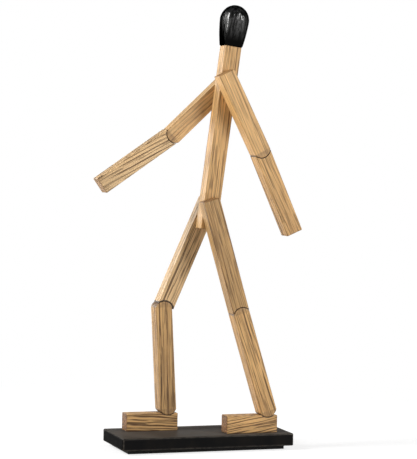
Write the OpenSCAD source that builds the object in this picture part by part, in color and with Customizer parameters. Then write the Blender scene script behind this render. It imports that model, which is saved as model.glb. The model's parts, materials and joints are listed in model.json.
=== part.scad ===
// Matchstick man: a striding figure of jointed square sticks on a base plate.
// Origin: centre of the base pad's underside. The figure walks toward -X, +Z is up,
// its left side is toward -Y and its right side toward +Y. Sizes are in millimetres, angles in degrees.

/* [Sticks] */
// Side of the square stick that every limb is cut from
stick_w = 12.7; // [10:0.1:14]
// Bevel on the edges of sticks and feet
edge_ease = 0.6; // [0.3:0.1:1.2]
// Running gap between the torso and the limbs beside it
side_gap = 0.2; // [0.1:0.05:0.5]

/* [Base] */
// Base plate in front of the right toe
toe_margin = 12.3; // [3:0.1:40]
// Base plate behind the left heel
heel_margin = 10.5; // [3:0.1:40]
// Base plate beside each foot
side_margin = 7.3; // [3:0.1:40]
// Thickness of the base plate
base_t = 9.3; // [4:0.1:16]
// Bevel on the plate's edges
base_ease = 1; // [0.4:0.1:1.8]
// Thickness of the pad under the plate
pad_t = 3; // [2:0.5:6]
// Bevel on the pad's edges
pad_ease = 0.4; // [0.2:0.1:0.8]
// How far the pad stays in from the plate's sides
pad_inset = 5.5; // [2:0.5:10]

/* [Feet] */
// Length of a foot
foot_l = 39.8; // [34:0.1:52]
// Height of a foot
foot_h = 13; // [12:0.5:18]
// Ankle axis above the top of the foot
ankle_over_foot = 5.7; // [4.6:0.1:6]
// Ankle axis in front of the heel end
ankle_from_heel = 7.8; // [7:0.1:10]

/* [Legs] */
// Knee axis to ankle axis
shin_l = 71.1; // [60:0.1:90]
// Hip axis to knee axis
thigh_l = 77.8; // [66:0.1:96]
// How far thighs and upper arms reach above their axles
limb_top = 12.4; // [9:0.1:15]

/* [Torso and head] */
// Hip axle to shoulder axle
back_l = 95.3; // [80:0.1:120]
// Shoulder axle to the top of the stick
neck_l = 31.4; // [26:0.1:40]
// Stick below the hip axle
tail_l = 10.5; // [8:0.5:14]
// Height of the match head
head_h = 31; // [25:0.5:38]
// Width of the match head across its flats at the widest
head_w = 21.1; // [16:0.1:24]
// How far the square rim under the match head stands out from the stick
head_rim_over = 0.8; // [0.3:0.1:1.5]

/* [Arms] */
// Shoulder axle to elbow axis
upper_arm_l = 49.5; // [42:0.5:62]
// Elbow axis to the end of the hand
forearm_l = 68.6; // [50:0.1:80]

/* [Pose] */
// Leans are measured from straight down toward +X, at the lower end of each stick
left_shin_lean = 17.3; // [15:0.1:19]
// Lean of the left thigh
left_thigh_lean = 16.6; // [15:0.1:19]
// Lean of the right shin: the right thigh follows, so that the right sole stays on the base
right_shin_lean = 3.5; // [3:0.1:8]
// Lean of the torso
torso_lean = -7.1; // [-9:0.1:-4]
// Lean of the left upper arm
left_upper_arm_lean = 27.1; // [20:0.1:40]
// Lean of the left forearm
left_forearm_lean = 24.1; // [10:0.1:45]
// Lean of the right upper arm
right_upper_arm_lean = -46.2; // [-60:0.2:-38]
// Lean of the right forearm
right_forearm_lean = -54.9; // [-70:0.1:-40]

/* [Knuckle joints] */
// How much the radius of a round end exceeds half the stick
knuckle_over = 0.7; // [0.6:0.1:2]
// Gap between a round end and the hollow end around it
knuckle_gap = 0.3; // [0.2:0.05:0.6]
// Diameter of the hinge pins
pin_d = 3; // [2:0.1:3.4]
// Thickness of the hinge tongues
tongue_t = 2; // [1.5:0.1:3]
// Diameter of the eye of a hinge tongue
eye_d = 6.4; // [5.6:0.1:7]
// Width of a tongue below its eye
neck_w = 3.2; // [2.4:0.1:4]
// Length of tongue glued into a limb
tongue_hold = 10; // [6:0.5:14]
// Length of tongue glued into a foot
foot_tongue_hold = 6; // [4:0.5:6.5]
// Swing from straight that a closed pocket leaves, either way
closed_swing = 42; // [30:1:42]
// Bend that a knee's pocket leaves, open at the back of the knee
knee_bend = 60; // [45:1:62]
// Thickness of the plug over each pin
plug_t = 1.5; // [1:0.1:2.5]

/* [Axles] */
// Diameter of the hip and shoulder axles
axle_d = 5; // [4:0.1:6]
// Depth of the blind bores that they turn in
axle_hold = 8.5; // [6:0.1:10]
// Width of the rubber rings on the axles
ring_w = 1.2; // [0.8:0.1:2]
// Depth of the grooves that hold the rings
groove_depth = 0.75; // [0.4:0.05:1]
// Running clearance of axles and pins, on the radius
run_fit = 0.05; // [0.02:0.01:0.1]

/* [Magnets and dowel] */
// Diameter of the magnets in the soles
magnet_d = 8; // [5:0.5:8.5]
// Thickness of the magnets
magnet_t = 3; // [2:0.5:4]
// Middle of the front magnet behind the toe end
magnet_from_toe = 8; // [5:0.5:9]
// Distance between the two magnets of a foot
magnet_pitch = 15; // [9:0.5:15]
// Diameter of the dowel in the neck
dowel_d = 6; // [4:0.5:7]
// Length of the dowel
dowel_l = 24; // [16:1:30]

/* [Hidden] */
$fn = 64;

oak = "#cda674";
oak_light = "#d9b88a";
black_lacquer = "#1f1d1c";
black_coat = "#2a2826";
rubber = "#161616";
steel = "#b9bcc0";
magnet_grey = "#8f9296";

half_w = stick_w / 2;
knuckle_r = half_w + knuckle_over;
hollow_r = knuckle_r + knuckle_gap;
limb_y = stick_w + side_gap;
base_top = pad_t + base_t;
ankle_rise = foot_h + ankle_over_foot;
head_rim_w = stick_w + 2 * head_rim_over;
round_end_reach = knuckle_r + 2 * edge_ease;
glue_fit = 0.01;
pocket_gap = 0.25;
tongue_side_gap = 0.1;
magnet_recess = 0.2;
ring_fit = 0.02;
axle_end_gap = 0.3;
overcut = 1;
knee_overtravel = 12;

// Stride: the right thigh leans so far that both soles are on the base
hip_over_ankle = shin_l * cos(left_shin_lean) + thigh_l * cos(left_thigh_lean);
right_thigh_lean = -acos((hip_over_ankle - shin_l * cos(right_shin_lean)) / thigh_l);
left_reach = shin_l * sin(left_shin_lean) + thigh_l * sin(left_thigh_lean);
right_reach = -shin_l * sin(right_shin_lean) - thigh_l * sin(right_thigh_lean);
base_l = left_reach + right_reach + foot_l + heel_margin + toe_margin;
base_w = 2 * (limb_y + half_w + side_margin);

// Joint centres as [x, z]: from the left foot up to the hip, then down the right leg and out along the arms
function down(from, lean, length) = from + length * [sin(lean), -cos(lean)];
function up(from, lean, length) = from - length * [sin(lean), -cos(lean)];
left_ankle = [base_l / 2 - heel_margin - ankle_from_heel, base_top + ankle_rise];
left_knee = up(left_ankle, left_shin_lean, shin_l);
hip = up(left_knee, left_thigh_lean, thigh_l);
right_knee = down(hip, right_thigh_lean, thigh_l);
right_ankle = down(right_knee, right_shin_lean, shin_l);
shoulder = up(hip, torso_lean, back_l);
left_elbow = down(shoulder, left_upper_arm_lean, upper_arm_l);
right_elbow = down(shoulder, right_upper_arm_lean, upper_arm_l);

// Placing: children are drawn hanging from a joint, with the torso on their +Y side
module on_left(joint, lean) {
    translate([joint.x, -limb_y, joint.y]) rotate([0, -lean, 0]) children();
}

module on_right(joint, lean) {
    mirror([0, 1, 0]) on_left(joint, lean) children();
}

module on_middle(joint, lean) {
    translate([joint.x, 0, joint.y]) rotate([0, -lean, 0]) children();
}

// Basic solids
module across(length) {
    rotate([90, 0, 0]) linear_extrude(length, center = true) children();
}

module rod(r, y0, y1) {
    translate([0, y1, 0]) rotate([90, 0, 0]) cylinder(r = r, h = y1 - y0);
}

module eased_rectangle(a, b, ease) {
    x = a / 2;
    y = b / 2;
    polygon([
        [x - ease, -y], [x, ease - y], [x, y - ease], [x - ease, y],
        [ease - x, y], [-x, y - ease], [-x, ease - y], [ease - x, -y],
    ]);
}

// A block about its centre with a bevel on all its edges
module eased_block(size, ease) {
    intersection() {
        linear_extrude(size.z, center = true) eased_rectangle(size.x, size.y, ease);
        rotate([90, 0, 0]) linear_extrude(size.y, center = true) eased_rectangle(size.x, size.z, ease);
        rotate([90, 0, 90]) linear_extrude(size.x, center = true) eased_rectangle(size.y, size.z, ease);
    }
}

module stick(z0, z1) {
    translate([0, 0, (z0 + z1) / 2]) eased_block([stick_w, stick_w, z1 - z0], edge_ease);
}

// Cutters at a joint in the origin, where the next piece hangs down along -Z
module round_end_cut() {
    reach = 2 * knuckle_r;
    across(2 * stick_w) difference() {
        translate([-reach, -2 * reach]) square([2 * reach, 2 * reach]);
        circle(r = knuckle_r);
    }
}

module hollow_end_cut() {
    rod(hollow_r, -stick_w, stick_w);
}

module pocket_cut(swing_back, swing_front) {
    reach = 2 * knuckle_r;
    half_neck = neck_w / 2 + pocket_gap;
    steps = 8;
    across(tongue_t + 2 * tongue_side_gap) {
        circle(d = eye_d + 2 * pocket_gap);
        for (swing = [-swing_front, swing_back]) {
            rotate(swing) translate([-half_neck, -reach]) square([2 * half_neck, reach]);
        }
        polygon([
            [0, 0],
            for (i = [0 : steps])
                let (swing = -swing_front + i * (swing_back + swing_front) / steps)
                    reach * [sin(swing), -cos(swing)],
        ]);
    }
}

module pin_bore_cut() {
    rod(pin_d / 2 + glue_fit, plug_t - half_w, half_w + overcut);
}

module tongue_slot_cut(hold) {
    across(tongue_t) translate([-neck_w / 2, -hollow_r - hold]) square([neck_w, hold + overcut]);
}

module axle_bore_cut() {
    rod(axle_d / 2 + run_fit, half_w - axle_hold, half_w + overcut);
}

// The joint turned over, for a piece that rises along +Z
module turned_over() {
    rotate([0, 180, 0]) children();
}

// Hinge pieces, in the frame of the joint
module tongue(hold) {
    across(tongue_t) difference() {
        union() {
            circle(d = eye_d);
            translate([-neck_w / 2, -hollow_r - hold]) square([neck_w, hollow_r + hold]);
        }
        circle(d = pin_d + 2 * run_fit);
    }
}

module hinge_pin() {
    rod(pin_d / 2, plug_t - half_w, half_w - plug_t);
}

module pin_plug() {
    rod(pin_d / 2, half_w - plug_t, half_w);
}

// Limbs, each hanging from its upper joint
module upper_arm() {
    difference() {
        stick(-upper_arm_l - round_end_reach, limb_top);
        translate([0, 0, -upper_arm_l]) {
            round_end_cut();
            pocket_cut(closed_swing, closed_swing);
            pin_bore_cut();
        }
        axle_bore_cut();
    }
}

module forearm() {
    difference() {
        stick(-forearm_l, 0);
        hollow_end_cut();
        tongue_slot_cut(tongue_hold);
    }
}

module thigh() {
    difference() {
        stick(-thigh_l, limb_top);
        translate([0, 0, -thigh_l]) turned_over() {
            hollow_end_cut();
            tongue_slot_cut(tongue_hold);
        }
        axle_bore_cut();
    }
}

module shin() {
    difference() {
        stick(-shin_l - round_end_reach, round_end_reach);
        turned_over() {
            round_end_cut();
            pocket_cut(knee_overtravel, knee_bend);
        }
        pin_bore_cut();
        translate([0, 0, -shin_l]) {
            round_end_cut();
            pocket_cut(closed_swing, closed_swing);
            pin_bore_cut();
        }
    }
}

// Foot pieces, under the ankle
front_magnet_x = ankle_from_heel - foot_l + magnet_from_toe;

module at_magnets() {
    for (x = [front_magnet_x, front_magnet_x + magnet_pitch]) translate([x, 0, magnet_recess - ankle_rise]) children();
}

module foot() {
    difference() {
        translate([ankle_from_heel - foot_l / 2, 0, foot_h / 2 - ankle_rise])
            eased_block([foot_l, stick_w, foot_h], edge_ease);
        hollow_end_cut();
        tongue_slot_cut(foot_tongue_hold);
        at_magnets() translate([0, 0, -overcut]) cylinder(d = magnet_d + 2 * glue_fit, h = magnet_t + overcut);
    }
}

module magnets() {
    at_magnets() cylinder(d = magnet_d, h = magnet_t);
}

// Axle through the torso, with a groove near each end for a rubber ring
axle_half = limb_y - half_w + axle_hold - axle_end_gap;
ring_at = limb_y - half_w + axle_hold / 2;

module at_rings() {
    for (side = [-1, 1]) translate([0, side * ring_at, 0]) rotate([90, 0, 0]) children();
}

module ring_shape(r_in, r_out) {
    difference() {
        cylinder(r = r_out, h = ring_w, center = true);
        cylinder(r = r_in, h = ring_w + overcut, center = true);
    }
}

module axle() {
    difference() {
        rod(axle_d / 2, -axle_half, axle_half);
        at_rings() ring_shape(axle_d / 2 - groove_depth, axle_d);
    }
}

module rings() {
    at_rings() ring_shape(axle_d / 2 - groove_depth, axle_d / 2 + run_fit - ring_fit);
}

// Match head: rounded-square rings stacked along the neck, from a square rim to a domed top
head_sides = 48;
head_rings = 20;
head_waist = 0.64;
head_flare = 1.2;
rim_ease = 0.4;
rim_squareness = 9;
top_squareness = 2.2;
dome_fullness = 2;

function head_half(u) = u < head_waist
    ? (head_w - (head_w - head_rim_w) * pow(1 - u / head_waist, head_flare)) / 2
    : head_w / 2 * pow(1 - pow((u - head_waist) / (1 - head_waist), dome_fullness), 1 / dome_fullness);
function squareness(u) = top_squareness + (rim_squareness - top_squareness) * pow(1 - u, 3);
function rounded(c, n) = sign(c) * pow(abs(c), 2 / n);
function head_ring(half, n, z) = [
    for (i = [0 : head_sides - 1])
        let (a = 360 * (i + 0.5) / head_sides)
            [half * rounded(cos(a), n), half * rounded(sin(a), n), z],
];

module head_solid() {
    steps = [for (i = [0 : head_rings - 1]) sin(90 * i / head_rings)];
    rings = [
        head_ring(head_rim_w / 2 - rim_ease, rim_squareness, 0),
        for (u = steps) head_ring(head_half(u), squareness(u), rim_ease + u * (head_h - rim_ease)),
    ];
    points = [for (ring = rings) each ring, [0, 0, head_h]];
    top = len(rings) - 1;
    polyhedron(points, [
        [for (i = [0 : head_sides - 1]) i],
        for (k = [0 : top - 1], i = [0 : head_sides - 1])
            let (a = k * head_sides, j = (i + 1) % head_sides)
                each [[a + i, a + head_sides + i, a + j], [a + j, a + head_sides + i, a + head_sides + j]],
        for (i = [0 : head_sides - 1])
            [top * head_sides + i, len(points) - 1, top * head_sides + (i + 1) % head_sides],
    ]);
}

module on_neck() {
    on_middle(hip, torso_lean) translate([0, 0, back_l + neck_l]) children();
}

module dowel_bore_cut() {
    cylinder(d = dowel_d + 2 * glue_fit, h = dowel_l, center = true);
}

// Sub-parts
module base_plate() {
    color(black_coat) translate([0, 0, pad_t + base_t / 2]) eased_block([base_l, base_w, base_t], base_ease);
}

module base_pad() {
    color(rubber) translate([0, 0, pad_t / 2])
        eased_block([base_l - 2 * pad_inset, base_w - 2 * pad_inset, pad_t], pad_ease);
}

module left_foot() { color(oak) on_left(left_ankle, 0) foot(); }
module left_foot_magnets() { color(magnet_grey) on_left(left_ankle, 0) magnets(); }
module left_ankle_tongue() { color(steel) on_left(left_ankle, 0) tongue(foot_tongue_hold); }
module left_shin() { color(oak) on_left(left_knee, left_shin_lean) shin(); }
module left_ankle_pin() { color(steel) on_left(left_ankle, left_shin_lean) hinge_pin(); }
module left_ankle_plug() { color(oak_light) on_left(left_ankle, left_shin_lean) pin_plug(); }
module left_knee_pin() { color(steel) on_left(left_knee, left_shin_lean) hinge_pin(); }
module left_knee_plug() { color(oak_light) on_left(left_knee, left_shin_lean) pin_plug(); }
module left_thigh() { color(oak) on_left(hip, left_thigh_lean) thigh(); }
module left_knee_tongue() {
    color(steel) on_left(left_knee, left_thigh_lean) turned_over() tongue(tongue_hold);
}

module right_foot() { color(oak) on_right(right_ankle, 0) foot(); }
module right_foot_magnets() { color(magnet_grey) on_right(right_ankle, 0) magnets(); }
module right_ankle_tongue() { color(steel) on_right(right_ankle, 0) tongue(foot_tongue_hold); }
module right_shin() { color(oak) on_right(right_knee, right_shin_lean) shin(); }
module right_ankle_pin() { color(steel) on_right(right_ankle, right_shin_lean) hinge_pin(); }
module right_ankle_plug() { color(oak_light) on_right(right_ankle, right_shin_lean) pin_plug(); }
module right_knee_pin() { color(steel) on_right(right_knee, right_shin_lean) hinge_pin(); }
module right_knee_plug() { color(oak_light) on_right(right_knee, right_shin_lean) pin_plug(); }
module right_thigh() { color(oak) on_right(hip, right_thigh_lean) thigh(); }
module right_knee_tongue() {
    color(steel) on_right(right_knee, right_thigh_lean) turned_over() tongue(tongue_hold);
}

module torso() {
    color(oak) on_middle(hip, torso_lean) difference() {
        stick(-tail_l, back_l + neck_l);
        for (z = [0, back_l]) translate([0, 0, z]) rod(axle_d / 2 + glue_fit, -stick_w, stick_w);
        translate([0, 0, back_l + neck_l]) dowel_bore_cut();
    }
}

module head() {
    color(black_lacquer) on_neck() difference() {
        head_solid();
        dowel_bore_cut();
    }
}

module head_dowel() { color(oak_light) on_neck() cylinder(d = dowel_d, h = dowel_l, center = true); }
module hip_axle() { color(steel) on_middle(hip, torso_lean) axle(); }
module hip_rings() { color(rubber) on_middle(hip, torso_lean) rings(); }
module shoulder_axle() { color(steel) on_middle(shoulder, torso_lean) axle(); }
module shoulder_rings() { color(rubber) on_middle(shoulder, torso_lean) rings(); }

module left_upper_arm() { color(oak) on_left(shoulder, left_upper_arm_lean) upper_arm(); }
module left_elbow_pin() { color(steel) on_left(left_elbow, left_upper_arm_lean) hinge_pin(); }
module left_elbow_plug() { color(oak_light) on_left(left_elbow, left_upper_arm_lean) pin_plug(); }
module left_forearm() { color(oak) on_left(left_elbow, left_forearm_lean) forearm(); }
module left_elbow_tongue() { color(steel) on_left(left_elbow, left_forearm_lean) tongue(tongue_hold); }

module right_upper_arm() { color(oak) on_right(shoulder, right_upper_arm_lean) upper_arm(); }
module right_elbow_pin() { color(steel) on_right(right_elbow, right_upper_arm_lean) hinge_pin(); }
module right_elbow_plug() { color(oak_light) on_right(right_elbow, right_upper_arm_lean) pin_plug(); }
module right_forearm() { color(oak) on_right(right_elbow, right_forearm_lean) forearm(); }
module right_elbow_tongue() { color(steel) on_right(right_elbow, right_forearm_lean) tongue(tongue_hold); }

base_plate();
base_pad();
left_foot();
left_foot_magnets();
left_ankle_tongue();
left_shin();
left_ankle_pin();
left_ankle_plug();
left_knee_pin();
left_knee_plug();
left_thigh();
left_knee_tongue();
right_foot();
right_foot_magnets();
right_ankle_tongue();
right_shin();
right_ankle_pin();
right_ankle_plug();
right_knee_pin();
right_knee_plug();
right_thigh();
right_knee_tongue();
torso();
head();
head_dowel();
hip_axle();
hip_rings();
shoulder_axle();
shoulder_rings();
left_upper_arm();
left_elbow_pin();
left_elbow_plug();
left_forearm();
left_elbow_tongue();
right_upper_arm();
right_elbow_pin();
right_elbow_plug();
right_forearm();
right_elbow_tongue();
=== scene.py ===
# %% [markdown]
# # A matchstick man in oak
#
# The object is a striding figure made of square oak sticks, with a black match head, on a black base plate.
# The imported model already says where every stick, pin and axle is. This lesson gives the figure its looks:
# eased edges, wood with real growth rings, lacquer, a coated plate and soft studio light.
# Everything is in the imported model's own frame, so a piece lands where it belongs with no fitting.

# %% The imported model
import json
import math

import bmesh
import bpy
from mathutils import Matrix, Vector, noise


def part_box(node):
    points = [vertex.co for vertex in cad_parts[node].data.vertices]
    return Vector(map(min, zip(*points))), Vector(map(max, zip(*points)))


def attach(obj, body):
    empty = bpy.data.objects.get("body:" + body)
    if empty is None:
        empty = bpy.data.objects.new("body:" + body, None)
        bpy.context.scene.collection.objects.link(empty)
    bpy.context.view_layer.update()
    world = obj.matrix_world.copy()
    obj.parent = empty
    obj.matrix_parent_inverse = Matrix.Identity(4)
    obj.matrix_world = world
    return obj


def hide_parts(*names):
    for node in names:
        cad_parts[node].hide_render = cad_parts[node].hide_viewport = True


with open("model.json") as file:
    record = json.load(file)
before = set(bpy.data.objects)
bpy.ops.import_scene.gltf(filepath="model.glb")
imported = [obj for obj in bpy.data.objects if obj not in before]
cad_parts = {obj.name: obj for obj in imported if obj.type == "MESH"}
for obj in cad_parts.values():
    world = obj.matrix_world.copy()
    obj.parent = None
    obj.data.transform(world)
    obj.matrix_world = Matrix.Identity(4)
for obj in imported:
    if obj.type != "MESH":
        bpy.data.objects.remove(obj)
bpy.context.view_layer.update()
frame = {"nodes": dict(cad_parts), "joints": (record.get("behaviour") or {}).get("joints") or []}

MM = 0.001
nodes = frame["nodes"]
centres = {j["name"]: Vector(j["pos_m"]) / MM for j in frame["joints"] if "pos_m" in j}
print(len(nodes), "packed nodes,", len(centres), "hinges")

# %% [markdown]
# ## Sizes
#
# A maker starts with the stick: 12.7 mm square, with its long edges eased by hand.
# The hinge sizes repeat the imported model's, because the bores and pockets have to fit its pins and tongues.
# Only the hollow ends are a tenth of a millimetre tighter, so that the joints show as fine lines.
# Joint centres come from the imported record, and limb lengths and leans follow from them.

# %% Sizes in millimetres
STICK = 12.7
HALF = STICK / 2
LONG_ARRIS = 0.55
END_ARRIS = 0.5
JOINT_ARRIS = 0.3
KNUCKLE = 7.05
HOLLOW = 7.25
TONGUE = 2.0
NECK = 3.2
EYE = 6.4
POCKET_GAP = 0.25
SIDE_GAP = 0.1
PIN_BORE = 1.51
PLUG = 1.5
AXLE_BORE = 2.55
AXLE_DEPTH = 8.5
LIMB_TOP = 12.4
FOREARM = 68.6
TAIL = 10.5
NECK_TOP = 126.7
FOOT_LENGTH = 39.8
FOOT_HEIGHT = 13.0
HEEL = 7.8
ANKLE_RISE = 18.7
FOREARM_LEANS = {"left": math.radians(24.1), "right": math.radians(-54.9)}

knuckle_rise = math.sqrt(KNUCKLE ** 2 - HALF ** 2)
hollow_rise = math.sqrt(HOLLOW ** 2 - HALF ** 2)


def lean_of(upper, lower):
    """The angle from straight down to a limb, positive when its lower end is further back."""
    step = centres[lower] - centres[upper]
    return math.atan2(step.x, -step.z)


def length_of(upper, lower):
    step = centres[lower] - centres[upper]
    return math.hypot(step.x, step.z)


shin_length = length_of("left_knee", "left_ankle")
thigh_length = length_of("left_hip", "left_knee")
arm_length = length_of("left_shoulder", "left_elbow")
back_length = length_of("left_hip", "left_shoulder")
torso_lean = lean_of("left_shoulder", "left_hip")
print(f"shin {shin_length:.1f}, thigh {thigh_length:.1f} mm")
print(f"upper arm {arm_length:.1f}, back {back_length:.1f} mm")

# %% [markdown]
# ## Camera
#
# The photograph was taken from a little in front of the figure's left side, slightly above the middle.
# A long lens keeps the sticks nearly parallel. The camera is built from three directions: its right, its up
# and its view, which is the plainest way to give it a small roll as well.

# %% Camera at the photograph's angle
YAW = math.radians(19.017)
PITCH = math.radians(2.47)
ROLL = math.radians(-1.046)
CAMERA_PLACE = Vector((-0.46354, -1.36, 0.22495))
FOCAL_PIXELS = 1933.9
IMAGE_HEIGHT = 459
SENSOR = 36.0


def in_scene(name, data):
    """A new object for a mesh, a lamp or a camera, put in the scene."""
    made = bpy.data.objects.new(name, data)
    bpy.context.scene.collection.objects.link(made)
    return made


look = Vector((math.sin(YAW) * math.cos(PITCH), math.cos(YAW) * math.cos(PITCH), -math.sin(PITCH)))
level_right = Vector((math.cos(YAW), -math.sin(YAW), 0))
level_down = look.cross(level_right)
right = math.cos(ROLL) * level_right + math.sin(ROLL) * level_down
down = -math.sin(ROLL) * level_right + math.cos(ROLL) * level_down

lens = bpy.data.cameras.new("photo_camera")
lens.sensor_fit = "VERTICAL"
lens.sensor_height = SENSOR
lens.lens = FOCAL_PIXELS / IMAGE_HEIGHT * SENSOR
camera = in_scene("photo_camera", lens)
facing = Matrix((right, -down, -look)).transposed().to_4x4()
camera.matrix_world = Matrix.Translation(CAMERA_PLACE) @ facing
bpy.context.scene.camera = camera
print(f"lens {lens.lens:.1f} mm at {CAMERA_PLACE.length:.2f} m")

# %% [markdown]
# ## Wiring nodes
#
# Both the shapes and the finishes below are node trees. A small helper keeps each of them readable:
# it adds a node, sets what it is told, and joins a socket whenever it is handed one.


# %% A bench for wiring nodes
class Bench:
    """A node tree with short words for adding nodes and joining their sockets."""

    def __init__(self, tree):
        self.tree = tree

    def feed(self, socket, value):
        if isinstance(value, bpy.types.NodeSocket):
            self.tree.links.new(value, socket)
        else:
            socket.default_value = value

    def add(self, kind, feeds=None, **settings):
        made = self.tree.nodes.new(kind)
        for key, value in settings.items():
            setattr(made, key, value)
        for key, value in (feeds or {}).items():
            self.feed(made.inputs[key], value)
        return made

    def group(self, tree, feeds):
        return self.add("ShaderNodeGroup", feeds, node_tree=tree).outputs

    def coordinate(self, kind):
        return self.add("ShaderNodeTexCoord").outputs[kind]

    def math(self, operation, *values, clamp=False):
        made = self.add("ShaderNodeMath", dict(enumerate(values)), operation=operation, use_clamp=clamp)
        return made.outputs[0]

    def times(self, first, second, clamp=False):
        return self.math("MULTIPLY", first, second, clamp=clamp)

    def larger(self, first, second):
        return self.math("MAXIMUM", first, second)

    def summed(self, base, *terms):
        """A base with terms added to it, each of them an amount and its share."""
        for amount, share in terms:
            base = self.math("MULTIPLY_ADD", amount, share, base)
        return base

    def vector(self, operation, *values):
        made = self.add("ShaderNodeVectorMath", operation=operation)
        for socket, value in zip(made.inputs, values):
            self.feed(socket, value)
        return made.outputs["Value" if operation in ("LENGTH", "DOT_PRODUCT") else "Vector"]

    def scaled(self, vector, by):
        made = self.add("ShaderNodeVectorMath", {0: vector, "Scale": by}, operation="SCALE")
        return made.outputs["Vector"]

    def parts(self, vector):
        return self.add("ShaderNodeSeparateXYZ", {0: vector}).outputs

    def joined(self, x, y, z):
        return self.add("ShaderNodeCombineXYZ", {0: x, 1: y, 2: z}).outputs[0]

    def between(self, value, low, high, to_low=0.0, to_high=1.0, smooth=True):
        kind = "SMOOTHSTEP" if smooth else "LINEAR"
        feeds = {0: value, 1: low, 2: high, 3: to_low, 4: to_high}
        return self.add("ShaderNodeMapRange", feeds, interpolation_type=kind).outputs[0]

    def noise(self, vector, detail=0.0, roughness=0.5, scale=1.0):
        feeds = {"Vector": vector, "Scale": scale, "Detail": detail, "Roughness": roughness}
        return self.add("ShaderNodeTexNoise", feeds).outputs["Fac"]

    def swing(self, vector, detail):
        """Noise that swings evenly about zero."""
        return self.math("SUBTRACT", self.noise(vector, detail), 0.5)

    def mixed(self, share, first, second, blend="MIX"):
        feeds = {0: share, 6: first, 7: second}
        return self.add("ShaderNodeMix", feeds, data_type="RGBA", blend_type=blend).outputs[2]

    def blended(self, share, first, second):
        """One shader that turns into another as the share grows."""
        return self.add("ShaderNodeMixShader", {0: share, 1: first, 2: second}).outputs[0]


print("bench ready")


# %% Trees for the bench
def tree_with(name, kind, takes, gives):
    """A node group with named inputs and outputs, its bench, and the sockets that bring the inputs in."""
    tree = bpy.data.node_groups.new(name, kind)
    for label, socket in takes:
        tree.interface.new_socket(label, in_out="INPUT", socket_type="NodeSocket" + socket)
    for label, socket in gives:
        tree.interface.new_socket(label, in_out="OUTPUT", socket_type="NodeSocket" + socket)
    bench = Bench(tree)
    return tree, bench, bench.add("NodeGroupInput").outputs, bench.add("NodeGroupOutput").inputs


def cleared_bench(holder):
    """The bench of a material or a world, with nothing on it yet."""
    holder.use_nodes = True
    holder.node_tree.nodes.clear()
    return Bench(holder.node_tree)


print("trees ready")

# %% [markdown]
# ## Oak, seen from inside the tree
#
# Painted stripes would stop at every edge. Real grain goes through the stick, so the pattern is a solid one:
# each stick is imagined in the log it was sawn from, and the distance to the pith gives its growth rings.
# Oak is ring porous, so each ring starts with a dark, open band and ends smooth and pale.
# Long thin pores sit in the dark band, silky ray flecks run out from the pith, and the ends show end grain
# by themselves. Each pattern has a fineness across the grain and a much smaller one along it.

# %% Growth rings
RING = 2.3
SLOW_SWAY = (0.07, 0.016)
QUICK_SWAY = (0.25, 0.06)
QUICK_SHARE = 0.22
RING_CHANGE = 0.16
RING_UNEVEN = 2.2

oak_tree, bench, given, result = tree_with(
    "oak grain", "ShaderNodeTree",
    [("Place in log", "Vector"), ("Wander", "Float"), ("Lines", "Float"), ("Depth of tone", "Float")],
    [("Colour", "Color"), ("Roughness", "Float"), ("Height", "Float")])
log = given["Place in log"]
x, y, z = bench.parts(log)


def stretched(fineness):
    """The place in the log, drawn out along the grain."""
    across, along = fineness
    return bench.vector("MULTIPLY", log, (across, across, along))


slow = bench.swing(stretched(SLOW_SWAY), 1.0)
quick = bench.swing(stretched(QUICK_SWAY), 1.0)
sway = bench.times(bench.summed(slow, (quick, QUICK_SHARE)), given["Wander"])
radius = bench.math("ADD", bench.vector("LENGTH", bench.joined(x, y, 0.0)), sway)
uneven = bench.noise(bench.joined(bench.times(radius, RING_CHANGE), 0.0, 0.0), 1.0)
phase = bench.summed(bench.math("DIVIDE", radius, RING), (uneven, RING_UNEVEN))
in_ring = bench.math("FRACT", phase)
chance = bench.add("ShaderNodeTexWhiteNoise", {"W": bench.math("FLOOR", phase)}, noise_dimensions="1D")
ring_chance = chance.outputs["Value"]
print("rings", RING, "mm apart")

# %% Early wood, lines and pores
FADING = (0.4, 0.03)
DASHES = (1.05, 0.036)
PORES = (1.5, 0.05)
PORES_EARLY = 0.6
PORES_LATE = 0.46


def ring_start(fades, begins):
    """A band that begins just before a ring does and fades out in it."""
    return bench.larger(bench.between(in_ring, *fades, 1.0, 0.0), bench.between(in_ring, *begins))


early = ring_start(fades=(0.0, 0.6), begins=(0.9, 1.0))
early = bench.times(early, bench.between(ring_chance, 0.0, 1.0, 0.3, 1.0, smooth=False))
early = bench.times(early, bench.between(bench.noise(stretched(FADING), 1.0), 0.3, 0.65, 0.35, 1.0))

lines = ring_start(fades=(0.12, 0.34), begins=(0.92, 0.98))
lines = bench.times(lines, bench.between(bench.noise(stretched(DASHES), 2.0, 0.55), 0.45, 0.53))
lines = bench.times(lines, bench.between(ring_chance, 0.1, 0.8, 0.3, 1.0))
pores = bench.between(bench.noise(stretched(PORES), 0.0), 0.54, 0.65)
pores = bench.times(pores, bench.summed(PORES_LATE, (early, PORES_EARLY)))
pores = bench.times(bench.larger(lines, pores), given["Lines"], clamp=True)
print("pores about", round(1 / PORES[1]), "mm long")

# %% Streaks, flecks and the oak's colour
PALE_OAK = (0.745, 0.438, 0.166, 1)
WARM_OAK = (0.40, 0.20, 0.064, 1)
LINE_BROWN = (0.092, 0.042, 0.013, 1)
FLECK_OAK = (0.76, 0.52, 0.25, 1)
SAPWOOD = (0.80, 0.60, 0.36, 1)
STREAKS = (0.2, 0.008)
FIBRE = (2.2, 0.06)
BROAD = (0.11, 0.02)
BROAD_SHADE = 0.6
RAY_REACH = 55.0
RAYS = (0.3, 3.2, 0.3)
OAK_DULL = 0.47

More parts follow.
